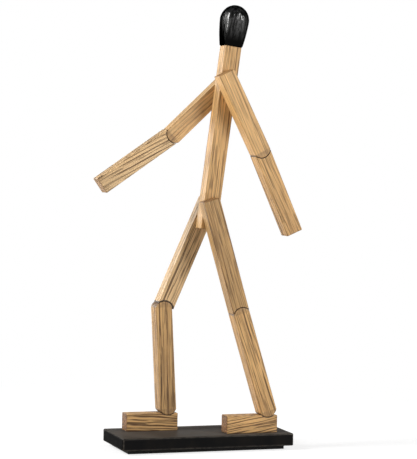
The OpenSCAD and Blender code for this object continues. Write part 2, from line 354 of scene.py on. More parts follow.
streaks = bench.between(bench.noise(stretched(STREAKS), 1.0), 0.5, 0.72)
fibre = bench.swing(stretched(FIBRE), 2.0)
broad = bench.swing(stretched(BROAD), 2.0)
angle = bench.times(bench.math("ARCTAN2", y, x), RAY_REACH)
ray_place = bench.vector("MULTIPLY", bench.joined(radius, angle, z), RAYS)
flecks = bench.between(bench.noise(ray_place, 0.0), 0.62, 0.72)

tint = PALE_OAK
for amount, share, colour in ((early, 0.75, WARM_OAK), (streaks, 0.4, WARM_OAK), (flecks, 0.3, FLECK_OAK),
                              (given["Depth of tone"], -1.0, SAPWOOD), (pores, 0.9, LINE_BROWN)):
    tint = bench.mixed(bench.times(amount, share, clamp=True), tint, colour)
deep = bench.larger(given["Depth of tone"], 0.0)
shade = bench.math("ADD", bench.summed(fibre, (broad, BROAD_SHADE)), 1.0)
shade = bench.times(shade, bench.math("SUBTRACT", 1.0, deep))
tint = bench.mixed(1.0, tint, bench.joined(shade, shade, shade), "MULTIPLY")
bench.feed(result["Colour"], tint)
bench.feed(result["Roughness"], bench.summed(OAK_DULL, (fibre, 0.2), (pores, 0.18), (flecks, -0.06)))
bench.feed(result["Height"], bench.summed(0.0, (fibre, 0.02), (pores, -0.07), (early, -0.02)))
print("oak tree:", len(oak_tree.nodes), "nodes")

# %% [markdown]
# ## Rubbed edges
#
# The arrises of a toy are rubbed smooth by sandpaper, and here they are also coloured a little darker than
# the faces. The rub is found from the place in the stick: it is strong where a point is near two faces at once.

# %% Rubbed edges
RUB_PATCHES = 0.35

edge_tree, bench, given, result = tree_with(
    "rubbed edges", "ShaderNodeTree",
    [("Place in stick", "Vector"), ("Half size", "Vector"), ("Reach", "Float")], [("Rub", "Float")])
near = bench.vector("SUBTRACT", given["Half size"], bench.vector("ABSOLUTE", given["Place in stick"]))
closeness = [bench.math("SUBTRACT", 1.0, bench.math("DIVIDE", part, given["Reach"]), clamp=True)
             for part in bench.parts(near)]
pairs = [bench.times(closeness[a], closeness[b]) for a, b in ((0, 1), (1, 2), (0, 2))]
rub = bench.larger(bench.larger(pairs[0], pairs[1]), pairs[2])
patchy = bench.noise(given["Place in stick"], 2.0, scale=RUB_PATCHES)
bench.feed(result["Rub"], bench.times(rub, bench.between(patchy, 0.3, 0.65, 0.35, 1.0)))
print("edge tree:", len(edge_tree.nodes), "nodes")

# %% [markdown]
# ## A finish for each stick
#
# Every stick gets its own material, because each was sawn from another place in the log.
# The first Mapping node turns Object coordinates into the stick's own millimetres, with Z along the grain.
# The second puts the stick in the log: its distance from the pith, and the small slope of its grain.
# Where two sticks meet in a hinge, a thin dark line of painted shade about its axis stands for the shadow in
# the gap, and end grain drinks more oil, so it is darker than the faces.


# %% Materials and places on a piece
def new_material(name):
    """A material that has only a surface shader, and its bench."""
    material = bpy.data.materials.new(name)
    bench = cleared_bench(material)
    surface = bench.add("ShaderNodeBsdfPrincipled")
    bench.add("ShaderNodeOutputMaterial", {"Surface": surface.outputs[0]})
    return material, bench, surface


def placed(bench, middle, turn):
    """Object coordinates as millimetres about a piece's middle, turned along it."""
    feeds = {"Vector": bench.coordinate("Object"), "Location": middle * MM, "Rotation": (0, turn, 0),
             "Scale": (MM, MM, MM)}
    return bench.add("ShaderNodeMapping", feeds, vector_type="TEXTURE").outputs[0]


def dress(bench, surface, sockets, height, strength):
    """Feeds a surface shader by its sockets' names, and bumps it by a height in millimetres."""
    for label, value in sockets.items():
        bench.feed(surface.inputs[label], value)
    bump = bench.add("ShaderNodeBump", {"Strength": strength, "Distance": MM, "Height": height})
    bench.feed(surface.inputs["Normal"], bump.outputs[0])


print("materials can be made")

# %% Oak for one stick
EDGE_OAK = (0.20, 0.105, 0.042, 1)
EDGE_SHARE = 0.55
EDGE_REACH = 1.0
EDGE_POLISH = 0.08
END_GRAIN = (0.60, 0.51, 0.41, 1)
TOE_GRAIN = (0.38, 0.28, 0.155, 1)
END_FACING = (0.45, 0.85)
# Painted shade: a dark line about each hinge, for the shadow in its gap.
GAP_SHADE_BROWN = (0.022, 0.012, 0.007, 1)
JOINT_RADIUS = (KNUCKLE + HOLLOW) / 2
JOINT_LINE = 0.28
JOINT_FADE = 0.3
GAP_SHADE_SHARE = 0.92
KNUCKLE_SIDE = (2.0, 3.5)
KNUCKLE_GAP_SHADE = 0.45
OAK_SPECULAR = 0.45


def painted_gap_shade(bench, stick, joints, reach):
    """Painted shade where sticks meet, for the shadow in the gap: a thin dark shell about each hinge axis, on
    its open side if it has one.
    """
    gap_shade = 0.0
    for centre, side in joints:
        x, _, z = bench.parts(bench.vector("SUBTRACT", stick, centre))
        off = bench.math("SUBTRACT", bench.vector("LENGTH", bench.joined(x, 0.0, z)), JOINT_RADIUS)
        shell = bench.between(bench.math("ABSOLUTE", off), reach, reach + JOINT_FADE, 1.0, 0.0)
        if side:
            past_axis = bench.between(bench.times(z, side), *KNUCKLE_SIDE, 0.0, KNUCKLE_GAP_SHADE)
            shell = bench.times(shell, past_axis)
        gap_shade = bench.larger(gap_shade, shell)
    return gap_shade


def oak(name, middle, turn, half_size, pith, slope, wander, lines, tone, sap, joint_line=JOINT_LINE,
        joints=(), end_tint=END_GRAIN):
    """Oak along a stick: pith is its place in the log in millimetres, slope its grain's tilt in degrees."""
    material, bench, surface = new_material("oak_" + name)
    stick = placed(bench, middle, turn)
    tilt = (math.radians(slope[0]), math.radians(slope[1]), 0)
    log = bench.add("ShaderNodeMapping", {"Vector": stick, "Location": pith, "Rotation": tilt}).outputs[0]
    tone = bench.summed(tone, (bench.parts(stick)[0], sap / HALF))
    grain = bench.group(oak_tree, {"Place in log": log, "Wander": wander, "Lines": lines,
                                   "Depth of tone": tone})
    rub = bench.group(edge_tree, {"Place in stick": stick, "Half size": half_size, "Reach": EDGE_REACH})["Rub"]
    along = Matrix.Rotation(turn, 3, "Y") @ Vector((0, 0, 1))
    facing = bench.vector("DOT_PRODUCT", bench.coordinate("Normal"), along)
    end_grain = bench.between(bench.math("ABSOLUTE", facing), *END_FACING)
    tint = bench.mixed(bench.times(rub, EDGE_SHARE), grain["Colour"], EDGE_OAK)
    tint = bench.mixed(end_grain, tint, end_tint, "MULTIPLY")
    # Painted shade in the hinge gaps.
    if joints:
        gap_shade = painted_gap_shade(bench, stick, joints, joint_line)
        tint = bench.mixed(bench.times(gap_shade, GAP_SHADE_SHARE), tint, GAP_SHADE_BROWN)
    dull = bench.summed(grain["Roughness"], (rub, -EDGE_POLISH))
    dress(bench, surface, {"Base Color": tint, "Roughness": dull, "Specular IOR Level": OAK_SPECULAR},
          grain["Height"], strength=0.6)
    return material


print("oak recipe ready")

# %% [markdown]
# ## One rule for every stick
#
# All the sticks, the feet and the plate are one shape: a block with eased edges whose ends may be rounded
# or hollowed. That is a rule, so Geometry Nodes make it. A divided cube is spread so that its outer rows fall
# on the easing, each point is pushed out to the eased surface, and the two ends are curved by the height
# of a circle over their width. The hinge bores and pockets are then cut away, and the stick is turned
# to its lean and put on its joint.

# %% The eased block
ROWS = {"X": 12, "Y": 6, "Z": 20}
EASING_ROWS = 3
SHARP = math.radians(30)

block_tree, bench, given, result = tree_with(
    "eased block", "GeometryNodeTree",
    [("Half size", "Vector"), ("Long arris", "Float"), ("Upper arris", "Float"), ("Lower arris", "Float"),
     ("Upper end", "Float"), ("Lower end", "Float"), ("Middle", "Vector"), ("Cutters", "Object"),
     ("Joint", "Vector"), ("Lean", "Float"), ("Finish", "Material")],
    [("Geometry", "Geometry")])
counts = {f"Vertices {axis}": rows + 2 * EASING_ROWS + 1 for axis, rows in ROWS.items()}
cube = bench.add("GeometryNodeMeshCube", {"Size": (2, 2, 2), **counts})
flat_share = Vector([rows / (rows + 2 * EASING_ROWS) for rows in ROWS.values()])
spot = bench.add("GeometryNodeInputPosition").outputs[0]
reach = bench.vector("ABSOLUTE", spot)
upper = bench.math("GREATER_THAN", bench.parts(spot)[2], 0.0)
lower = bench.math("SUBTRACT", 1.0, upper)
end_arris = bench.math("ADD", bench.times(upper, given["Upper arris"]),
                       bench.times(lower, given["Lower arris"]))
arris = bench.joined(given["Long arris"], given["Long arris"], end_arris)

flat = bench.vector("MINIMUM", bench.vector("DIVIDE", reach, flat_share), (1, 1, 1))
core = bench.vector("MULTIPLY", bench.vector("SINE", bench.scaled(flat, math.pi / 2)),
                    bench.vector("SUBTRACT", given["Half size"], arris))
past = bench.vector("MAXIMUM", bench.vector("SUBTRACT", reach, flat_share), (0, 0, 0))
past = bench.vector("DIVIDE", past, Vector((1, 1, 1)) - flat_share)
outward = bench.vector("NORMALIZE", bench.vector("TANGENT", bench.scaled(past, math.pi / 4)))
eased = bench.vector("ADD", core, bench.vector("MULTIPLY", outward, arris))
eased = bench.vector("MULTIPLY", eased, bench.vector("SIGN", spot))
print("block rule: rows", counts)

# %% Round and hollow ends
x, y, z = bench.parts(eased)
half_width = bench.parts(given["Half size"])[0]
end_share = bench.parts(flat)[2]


def rise(radius, across):
    """Height of a circle over its centre line at a distance across it."""
    return bench.math("SQRT", bench.math("SUBTRACT", bench.times(radius, radius), bench.times(across, across)))


def end_shift(radius, on_this_half):
    """How far an end's points move outward: round for a positive radius, hollow for a negative one."""
    swell = bench.math("SUBTRACT", rise(radius, x), rise(radius, half_width))
    swell = bench.times(swell, bench.math("SIGN", radius))
    return bench.times(swell, bench.times(end_share, on_this_half))


shift = bench.math("SUBTRACT", end_shift(given["Upper end"], upper), end_shift(given["Lower end"], lower))
shaped = bench.joined(x, y, bench.math("ADD", z, shift))
print("ends can be round, hollow or square")


# %% Cut, hung and dressed
def step(kind, feeds, **settings):
    """One step of the block rule, and the geometry that comes out of it."""
    return bench.add("GeometryNode" + kind, feeds, **settings).outputs[0]


block = step("SetPosition", {"Geometry": cube.outputs["Mesh"], "Position": shaped})
block = step("Transform", {"Geometry": block, "Translation": given["Middle"]})
tools = bench.add("GeometryNodeObjectInfo", {"Object": given["Cutters"]}).outputs["Geometry"]
block = step("MeshBoolean", {"Mesh 1": block, "Mesh 2": tools, "Self Intersection": True},
             operation="DIFFERENCE", solver="EXACT")
swung = bench.joined(0.0, bench.times(given["Lean"], -1.0), 0.0)
block = step("Transform", {"Geometry": block, "Translation": given["Joint"], "Rotation": swung})
block = step("SetShadeSmooth", {"Geometry": block, "Shade Smooth": True}, domain="FACE")
bend = bench.add("GeometryNodeInputMeshEdgeAngle").outputs["Unsigned Angle"]
crease = bench.math("GREATER_THAN", bend, SHARP)
block = step("SetShadeSmooth", {"Geometry": block, "Selection": crease, "Shade Smooth": False}, domain="EDGE")
block = step("RealizeInstances", {"Geometry": block})
block = step("SetMaterial", {"Geometry": block, "Material": given["Finish"]})
bench.feed(result["Geometry"], block)
print("block tree:", len(block_tree.nodes), "nodes")

# %% [markdown]
# ## Cutting tools for the hinges
#
# A knuckle hinge hides a steel tongue. The round end has a pocket in which the tongue's eye and neck swing,
# a bore for the pin, and the hollow end has a slot in which the tongue is glued.
# Each of these is a flat outline pushed across the stick, so one prism helper makes every cutter.

# %% Outlines
PAST = 1.0
EVEN_SWING = (-42, 42)
KNEE_SWING = (-60, 12)
SWEEP_STEPS = 8
EYE_STEPS = 24
FAN_BULGE = 1.05


def half_step_turns(steps):
    """Angles round a circle, begun half a step on, so that no point falls on a block's own middle lines."""
    return [math.tau * (i + 0.5) / steps for i in range(steps)]


def ring_outline(radius, at=0.0, steps=48):
    return [(at + radius * math.cos(turn), radius * math.sin(turn)) for turn in half_step_turns(steps)]


def slot_outline(hold, up=False):
    """The slot a tongue is glued in, below the hollow of a joint, or above it when turned up."""
    flip = -1 if up else 1
    low, high = -HOLLOW - hold, -HOLLOW + PAST
    side = NECK / 2
    return [(-side, flip * low), (side, flip * low), (side, flip * high), (-side, flip * high)]


def fan_outline(low, high, up=False):
    """The pocket a tongue swings in: its eye, with its neck swept from low to high degrees."""
    flip = -1 if up else 1
    neck = NECK / 2 + POCKET_GAP
    eye = EYE / 2 + POCKET_GAP
    out = 2 * KNUCKLE
    first, last = math.radians(low), math.radians(high)
    foot = math.sqrt(eye ** 2 - neck ** 2)
    spread = math.asin(neck / eye)

    def on_side(turn, along, side):
        return (along * math.sin(turn) + side * neck * math.cos(turn),
                -along * math.cos(turn) + side * neck * math.sin(turn))

    def on_arc(distance, start, end, steps):
        turns = [start + (end - start) * i / steps for i in range(1, steps)]
        return [(distance * math.sin(turn), -distance * math.cos(turn)) for turn in turns]

    outline = [on_side(last, foot, 1), on_side(last, out, 1)]
    outline += on_arc(out * FAN_BULGE, last, first, SWEEP_STEPS)
    outline += [on_side(first, out, -1), on_side(first, foot, -1)]
    outline += on_arc(eye, first - spread, last + spread - math.tau, EYE_STEPS)
    return [(flip * x, flip * z) for x, z in outline]


print("pocket outline:", len(fan_outline(*EVEN_SWING)), "points")


# %% Prisms
def lowered(outline, drop):
    return [(x, z - drop) for x, z in outline]


def cutter(name, prisms):
    """One object from prisms given as outline, low, high and the axis they run along."""
    made = bmesh.new()
    for outline, low, high, axis in prisms:
        place = (lambda a, b, c: (a, c, b)) if axis == "Y" else (lambda a, b, c: (a, b, c))
        ends = [[made.verts.new(Vector(place(a, b, c)) * MM) for a, b in outline] for c in (low, high)]
        for end in ends:
            made.faces.new(end)
        for i in range(len(outline)):
            j = (i + 1) % len(outline)
            made.faces.new((ends[0][i], ends[0][j], ends[1][j], ends[1][i]))
    bmesh.ops.recalc_face_normals(made, faces=made.faces)
    mesh = bpy.data.meshes.new(name)
    made.to_mesh(mesh)
    made.free()
    return in_scene(name, mesh)


print("cutters can be made")

# %% [markdown]
# ## From rule to piece
#
# The block tree is a modifier on an empty mesh. Its inputs are set by the sockets' identifiers,
# then the evaluated result becomes a plain mesh and the modifier goes.
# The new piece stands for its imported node, and the check printed with it is how far the two boxes differ.

# %% Making a block piece
sockets = [item for item in block_tree.interface.items_tree if item.in_out == "INPUT"]
block_inputs = {socket.name: socket.identifier for socket in sockets}


def box_of(piece):
    corners = [v.co for v in piece.data.vertices]
    return (Vector([min(c[i] for c in corners) for i in range(3)]),
            Vector([max(c[i] for c in corners) for i in range(3)]))


def settle(piece, node, body):
    """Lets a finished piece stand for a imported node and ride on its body."""
    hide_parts(node)
    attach(piece, body)
    off = max((a - b).length for a, b in zip(box_of(piece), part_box(node))) / MM
    print(f"{piece.name}: {len(piece.data.polygons)} faces, box corners within {off:.2f} mm of the packed node")


def block_piece(node, body, finish, half_size, middle, joint, lean=0.0, prisms=(), ends=(0.0, 0.0),
                arrises=(LONG_ARRIS, END_ARRIS, END_ARRIS)):
    """A piece made by the block rule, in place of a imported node. Sizes are in millimetres."""
    piece = in_scene(node + "_eased", bpy.data.meshes.new(node + "_eased"))
    rule = piece.modifiers.new("eased block", "NODES")
    rule.node_group = block_tree
    values = {"Half size": half_size, "Middle": middle, "Joint": joint}
    values = {label: [size * MM for size in sizes] for label, sizes in values.items()}
    labels = ("Long arris", "Upper arris", "Lower arris", "Upper end", "Lower end")
    values.update({label: size * MM for label, size in zip(labels, arrises + ends)})
    values.update({"Lean": lean, "Finish": finish})
    tool = cutter("tools_for_" + node, prisms) if prisms else None
    if tool:
        values["Cutters"] = tool
    for label, value in values.items():
        rule[block_inputs[label]] = value
    graph = bpy.context.evaluated_depsgraph_get()
    mesh = bpy.data.meshes.new_from_object(piece.evaluated_get(graph), depsgraph=graph)
    piece.modifiers.remove(rule)
    piece.data = mesh
    mesh.name = piece.name
    if tool:
        bpy.data.objects.remove(tool)
    settle(piece, node, body)


print("inputs of the rule:", ", ".join(block_inputs))

# %% [markdown]
# ## The sticks
#
# A limb is drawn hanging from its upper joint, as it would lie on the bench. A shin is round at both ends,
# a thigh and a forearm are hollow where they meet the next knuckle, and an upper arm is square above and
# round below. The axle and pin bores are open on the side toward the torso, so the right limbs are cut
# as mirror images. A joint in the table is its height and the side of it that is open, if only one is.

# %% Limb shapes
POCKET_HALF = TONGUE / 2 + SIDE_GAP
TONGUE_HOLD = 10.0
JOINT_ABOVE = (LONG_ARRIS, JOINT_ARRIS, END_ARRIS)
JOINT_BELOW = (LONG_ARRIS, END_ARRIS, JOINT_ARRIS)
JOINT_AT_BOTH = (LONG_ARRIS, JOINT_ARRIS, JOINT_ARRIS)

pin_bore = (ring_outline(PIN_BORE, steps=32), PLUG - HALF, HALF + PAST)
axle_bore = (ring_outline(AXLE_BORE), HALF - AXLE_DEPTH, HALF + PAST)


def pocket(swing, drop=0.0, up=False):
    return lowered(fan_outline(*swing, up=up), drop), -POCKET_HALF, POCKET_HALF


def tongue_slot(hold, drop=0.0, up=False):
    return lowered(slot_outline(hold, up), drop), -TONGUE / 2, TONGUE / 2


def dropped(prism, drop):
    return lowered(prism[0], drop), prism[1], prism[2]


LIMBS = {
    "upper_arm": {
        "hinges": ("shoulder", "elbow"), "top": LIMB_TOP, "bottom": -arm_length - knuckle_rise,
        "ends": (0.0, KNUCKLE), "arrises": JOINT_BELOW, "joints": [(-arm_length, -1)],
        "prisms": [pocket(EVEN_SWING, arm_length), dropped(pin_bore, arm_length), axle_bore]},
    "forearm": {
        "hinges": ("elbow", None), "top": -hollow_rise, "bottom": -FOREARM,
        "ends": (-HOLLOW, 0.0), "arrises": JOINT_ABOVE, "joints": [(0, 0)],
        "prisms": [tongue_slot(TONGUE_HOLD)]},
    "thigh": {
        "hinges": ("hip", "knee"), "top": LIMB_TOP, "bottom": -thigh_length + hollow_rise,
        "ends": (0.0, -HOLLOW), "arrises": JOINT_BELOW, "joints": [(-thigh_length, 0)],
        "prisms": [tongue_slot(TONGUE_HOLD, thigh_length, up=True), axle_bore]},
    "shin": {
        "hinges": ("knee", "ankle"), "top": knuckle_rise, "bottom": -shin_length - knuckle_rise,
        "ends": (KNUCKLE, KNUCKLE), "arrises": JOINT_AT_BOTH, "joints": [(0, 1), (-shin_length, -1)],
        "prisms": [pocket(KNEE_SWING, up=True), pin_bore,
                   pocket(EVEN_SWING, shin_length), dropped(pin_bore, shin_length)]},
}
print(len(LIMBS), "limb shapes:", ", ".join(LIMBS))

# %% [markdown]
# ## Where each stick was in the log
#
# The first two numbers of the pith are its distance across the stick, the third its place along the log.
# A pith far off along X gives straight lines on the broad faces, and one off along Y gives the arched,
# flame-like figure of a board sawn flat. A few degrees of slope let the lines run out over the edge, as the
# real ones do. Wander is how far the rings sway, and lines is how strongly the pores show. Tone deepens
# a stick, or turns it toward pale sapwood when it is below zero, and sap lets that change across the stick.
# The right knee stands a little open, so the right thigh's joint line, painted shade for its gap, is wider than
# the others.

# %% The log table
OPEN_JOINT_LINE = 0.75
# Each row: pith, slope, wander, lines, tone, sap, and the joint line where it is not the usual one.
GRAIN = {
    "left_upper_arm": ((46, 30, 100), (0.6, -1.2), 1.2, 0.62, -0.06, -0.05),
    "left_forearm": ((38, -22, 330), (0.4, 2.2), 1.2, 1.02, 0.0, 0.0),
    "right_upper_arm": ((-52, 30, 515), (-0.6, -1.5), 1.3, 0.75, -0.15, 0.05),
    "right_forearm": ((33, 18, 760), (0.0, -6.5), 1.8, 1.2, -0.5, -0.1),
    "torso": ((55, 34, 980), (0.4, 0.7), 1.4, 1.2, 0.04, 0.1),
    "left_thigh": ((48, -30, 1300), (0.5, 1.2), 1.3, 1.2, 0.29, 0.0),
    "right_thigh": ((-44, 34, 1520), (0.5, -0.8), 1.4, 1.45, -0.45, 0.0, OPEN_JOINT_LINE),
    "left_shin": ((-36, 22, 1750), (0.4, 2.0), 1.9, 1.1, 0.0, -0.06),
    "right_shin": ((30, 26, 1980), (0.5, -1.4), 2.4, 1.4, 0.23, 0.04),
    "left_foot": ((22, 12, 2250), (0.0, 9.0), 5.0, 1.8, 0.0, 0.0),
    "right_foot": ((24, -12, 2470), (0.0, -4.0), 5.5, 2.0, 0.03, 0.0),
}
print(len(GRAIN), "sticks sawn from the log")

# %% Limbs
SIDES = ("left", "right")
finishes = {}


def sided(prisms, side):
    """Prisms across a stick: as drawn for the left, mirrored for the right."""
    return [(outline, low, high, "Y") if side == "left" else (outline, -high, -low, "Y")
            for outline, low, high in prisms]


def hung_point(joint, lean, point):
    """A point of a hanging piece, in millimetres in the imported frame."""
    return joint + Matrix.Rotation(-lean, 3, "Y") @ Vector(point)


for kind, shape in LIMBS.items():
    half_size = (HALF, HALF, (shape["top"] - shape["bottom"]) / 2)
    middle = (0, 0, (shape["top"] + shape["bottom"]) / 2)
    joints = [(Vector((0, 0, height)) - Vector(middle), opening) for height, opening in shape["joints"]]
    above, below = shape["hinges"]
    for side in SIDES:
        limb = f"{side}_{kind}"
        joint = centres[f"{side}_{above}"]
        lean = lean_of(f"{side}_{above}", f"{side}_{below}") if below else FOREARM_LEANS[side]
        in_limb = hung_point(joint, lean, middle)
        finishes[limb] = oak(limb, in_limb, -lean, half_size, *GRAIN[limb], joints=joints)
        block_piece(limb, limb, finishes[limb], half_size, middle, joint, lean,
                    sided(shape["prisms"], side), shape["ends"], shape["arrises"])

# %% [markdown]
# ## The torso
#
# The torso is the longest stick, from a short tail below the hips to the neck, square at both ends.
# It is bored through for the two axles and from above for the dowel that holds the head.

# %% Torso
AXLE_SEAT = 2.51
DOWEL_BORE = 3.01
DOWEL_DEPTH = 12.0

hip = Vector((centres["left_hip"].x, 0, centres["left_hip"].z))
torso_half = (HALF, HALF, (NECK_TOP + TAIL) / 2)
torso_middle = (0, 0, (NECK_TOP - TAIL) / 2)
torso_bores = [(lowered(ring_outline(AXLE_SEAT), drop), -HALF - PAST, HALF + PAST, "Y")
               for drop in (0, -back_length)]
torso_bores.append((ring_outline(DOWEL_BORE), NECK_TOP - DOWEL_DEPTH, NECK_TOP + PAST, "Z"))
in_torso = hung_point(hip, torso_lean, torso_middle)
finishes["torso"] = oak("torso", in_torso, -torso_lean, torso_half, *GRAIN["torso"])
block_piece("torso", "torso", finishes["torso"], torso_half, torso_middle, hip, torso_lean, torso_bores)

# %% [markdown]
# ## The feet
#
# A foot is a short block with its grain lying from heel to toe. The shin's knuckle sits in a round notch
# near the heel, a tongue stands in a slot under it, and two magnets are let into the sole, which hold
# the figure to the plate.

# %% Feet
FOOT_ARRISES = (0.6, 0.5, 0.5)
FOOT_TONGUE_HOLD = 6.0
MAGNET_BORE = 4.01
MAGNET_DEPTH = 3.2
MAGNETS_FROM_TOE = (8, 23)

foot_half = (FOOT_LENGTH / 2, HALF, FOOT_HEIGHT / 2)
foot_middle = (HEEL - FOOT_LENGTH / 2, 0, FOOT_HEIGHT / 2 - ANKLE_RISE)
along_foot = (foot_half[2], foot_half[1], foot_half[0])
notch = Vector((foot_middle[2], 0, -foot_middle[0]))
notch_cuts = [(ring_outline(HOLLOW, steps=96), -HALF - PAST, HALF + PAST), tongue_slot(FOOT_TONGUE_HOLD)]
magnet_cuts = [(ring_outline(MAGNET_BORE, HEEL - FOOT_LENGTH + at), -ANKLE_RISE - PAST,
                MAGNET_DEPTH - ANKLE_RISE, "Z") for at in MAGNETS_FROM_TOE]
for side in SIDES:
    foot = side + "_foot"
    ankle = centres[side + "_ankle"]
    finishes[foot] = oak(foot, ankle + Vector(foot_middle), math.pi / 2, along_foot, *GRAIN[foot],
                         joints=[(notch, 0)], end_tint=TOE_GRAIN)
    block_piece(foot, foot, finishes[foot], foot_half, foot_middle, ankle, 0.0,
                sided(notch_cuts, side) + magnet_cuts, arrises=FOOT_ARRISES)

# %% [markdown]
# ## Black lacquer on the match head
#
# The head is turned wood dipped in black lacquer. The lacquer is glossy, but the grain still telegraphs
# through it as upright ridges, which break its highlights into streaks. It is shaded as a dark metal, because
# one colour then sets how strongly each place reflects. The shine has a dark rim, and as a painted shade it
# thins out toward the neck, so the black stays deep in front of a white ground.


# %% Head lacquer
def grey(level):
    return level, level, level, 1


HEAD_BLACK = (0.0045, 0.0045, 0.0043, 1)
HEAD_GLOSS = (0.078, 0.0775, 0.0763, 1)
HEAD_RIM_SHINE = grey(0.1)
HEAD_ROUGHNESS = (0.16, 0.28)
HEAD_SHINE_FROM = (3.0, 17.0)
RIDGES = (0.5, 0.5, 0.04)
PITS = (1.7, 1.7, 0.4)
HEAD_CLOUD = 0.16

neck = hung_point(hip, torso_lean, (0, 0, NECK_TOP))
lacquer, bench, surface = new_material("head_lacquer")
on_head = placed(bench, neck, -torso_lean)
ridges = bench.noise(bench.vector("MULTIPLY", on_head, RIDGES), 1.5, 0.45)
pits = bench.between(bench.noise(bench.vector("MULTIPLY", on_head, PITS), 1.0), 0.55, 0.7)
cloud = bench.noise(on_head, 2.0, scale=HEAD_CLOUD)
# Painted shade: the lacquer reflects less toward the neck, so the lower head stays dark.
upper_shine = bench.between(bench.parts(on_head)[2], *HEAD_SHINE_FROM)
shine = bench.times(upper_shine, bench.between(bench.summed(ridges, (pits, -0.2)), 0.36, 0.58, 0.15, 1.0))
dull = bench.between(bench.summed(cloud, (pits, 0.3)), 0.3, 1.0, *HEAD_ROUGHNESS)
ripple = bench.summed(0.0, (ridges, 0.95), (pits, -0.03))
dress(bench, surface, {"Base Color": bench.mixed(shine, HEAD_BLACK, HEAD_GLOSS), "Roughness": dull,
                       "Metallic": 1.0, "Specular Tint": HEAD_RIM_SHINE}, ripple, strength=1.0)
print("lacquer:", len(lacquer.node_tree.nodes), "nodes")

# %% [markdown]
# ## The match head
#
# The head grows from a square rim, a little wider than the stick, into a rounded bulb with a domed top.
# Its sections are squares with ever rounder corners, so it is lofted ring by ring from one formula,
# and tiny dents, as a hand-dipped coat has, keep its highlights alive. The dowel's bore is part of the shell.

# %% Head loft
HEAD_HEIGHT = 31.0
HEAD_WIDTH = 21.1
RIM_WIDTH = 14.3
RIM_EASE = 0.4
WAIST = 0.64
RIM_SQUARE = 9.0
TOP_SQUARE = 2.2
ROUND = 2.0
FLARE = 1.2
HEAD_SIDES = 128
HEAD_RINGS = 64
DENT = 0.10
BROAD_DENTS = 0.22
SMALL_DENTS = 0.55
SMALL_SHARE = 0.5


def head_half(u):
    if u < WAIST:
        return (HEAD_WIDTH - (HEAD_WIDTH - RIM_WIDTH) * (1 - u / WAIST) ** FLARE) / 2
    return HEAD_WIDTH / 2 * math.sqrt(1 - ((u - WAIST) / (1 - WAIST)) ** 2)


def squared_ring(half, squareness, z):
    """A ring of points on a square with rounded corners."""
    def spread(part):
        return half * math.copysign(abs(part) ** (2 / squareness), part)

    turns = half_step_turns(HEAD_SIDES)
    return [Vector((spread(math.cos(turn)), spread(math.sin(turn)), z)) for turn in turns]


rings = [squared_ring(DOWEL_BORE, ROUND, DOWEL_DEPTH), squared_ring(DOWEL_BORE, ROUND, 0.0),
         squared_ring(RIM_WIDTH / 2 - RIM_EASE, RIM_SQUARE, 0.0)]
for i in range(HEAD_RINGS):
    u = math.sin(math.pi / 2 * i / HEAD_RINGS)
    squareness = TOP_SQUARE + (RIM_SQUARE - TOP_SQUARE) * (1 - u) ** 3
    ring = squared_ring(head_half(u), squareness, RIM_EASE + u * (HEAD_HEIGHT - RIM_EASE))
    for point in ring:
        dent = noise.noise(point * BROAD_DENTS) + SMALL_SHARE * noise.noise(point * SMALL_DENTS)
        depth = DENT * max(dent, 0.0) * u
        for axis in (0, 1):
            point[axis] -= math.copysign(min(abs(point[axis]), depth), point[axis])
    rings.append(ring)
print("head:", len(rings), "rings of", HEAD_SIDES)

# %% Head piece
shell = bmesh.new()
rows = [[shell.verts.new(hung_point(neck, torso_lean, p) * MM) for p in ring] for ring in rings]
for row, after in zip(rows, rows[1:]):
    for i in range(HEAD_SIDES):
        j = (i + 1) % HEAD_SIDES
        shell.faces.new((row[i], row[j], after[j], after[i]))
for row, z in ((rows[0], DOWEL_DEPTH), (rows[-1], HEAD_HEIGHT)):
    pole = shell.verts.new(hung_point(neck, torso_lean, (0, 0, z)) * MM)
    for i in range(HEAD_SIDES):
        shell.faces.new((row[i], row[(i + 1) % HEAD_SIDES], pole))
bmesh.ops.recalc_face_normals(shell, faces=shell.faces)
for edge in shell.edges:
    edge.smooth = edge.calc_face_angle(0.0) < SHARP
for face in shell.faces:
    face.smooth = True
head_mesh = bpy.data.meshes.new("head_dipped")
shell.to_mesh(head_mesh)
shell.free()
head_mesh.materials.append(lacquer)
head = in_scene("head_dipped", head_mesh)
settle(head, "head", "torso")

# %% [markdown]
# ## The base plate and its pad
#
# The plate is steel with a satin black coat, so the magnets grip it. Such a coat is sprayed: it has a fine
# orange peel and soft clouds in its gloss. Its edges are worn by hands, so they are duller and browner, and its
# top is duller and painted browner, the brown being a painted reflection of the oak feet. Like the lacquer it
# is shaded as a dark metal, and less so on its top and worn edges.
# The pad under it is plain black rubber.

# %% Satin coat
COAT_BLACK = (0.007, 0.007, 0.0071, 1)
COAT_BROWN = (0.01, 0.009, 0.0082, 1)
COAT_EDGE_SHINE = grey(0.43)
COAT_ROUGHNESS = (0.3, 0.4)
# Painted reflection: on the top this brown stands for the oak feet it reflects; on the edges it is real wear.
TOP_REFLECTION_AND_SCUFF_BROWN = (0.116, 0.101, 0.086, 1)
TOP_AND_SCUFF_SHINE = grey(0.65)
TOP_AND_SCUFF_METAL = 0.35
TOP_AND_SCUFF_DULL = 0.12
SCUFFED_EDGE = 0.6
SCUFF_REACH = 1.4
DUST = (0.03, 0.028, 0.027, 1)
DUST_SHARE = 0.12
DUST_SPECKS = 1.1
COAT_CLOUD = 0.045
ORANGE_PEEL = 2.2
PEEL_HEIGHT = 0.02


def half_and_middle(low, high):
    """A box's half size and middle in millimetres."""
    return (high - low) / MM / 2, (high + low) / MM / 2


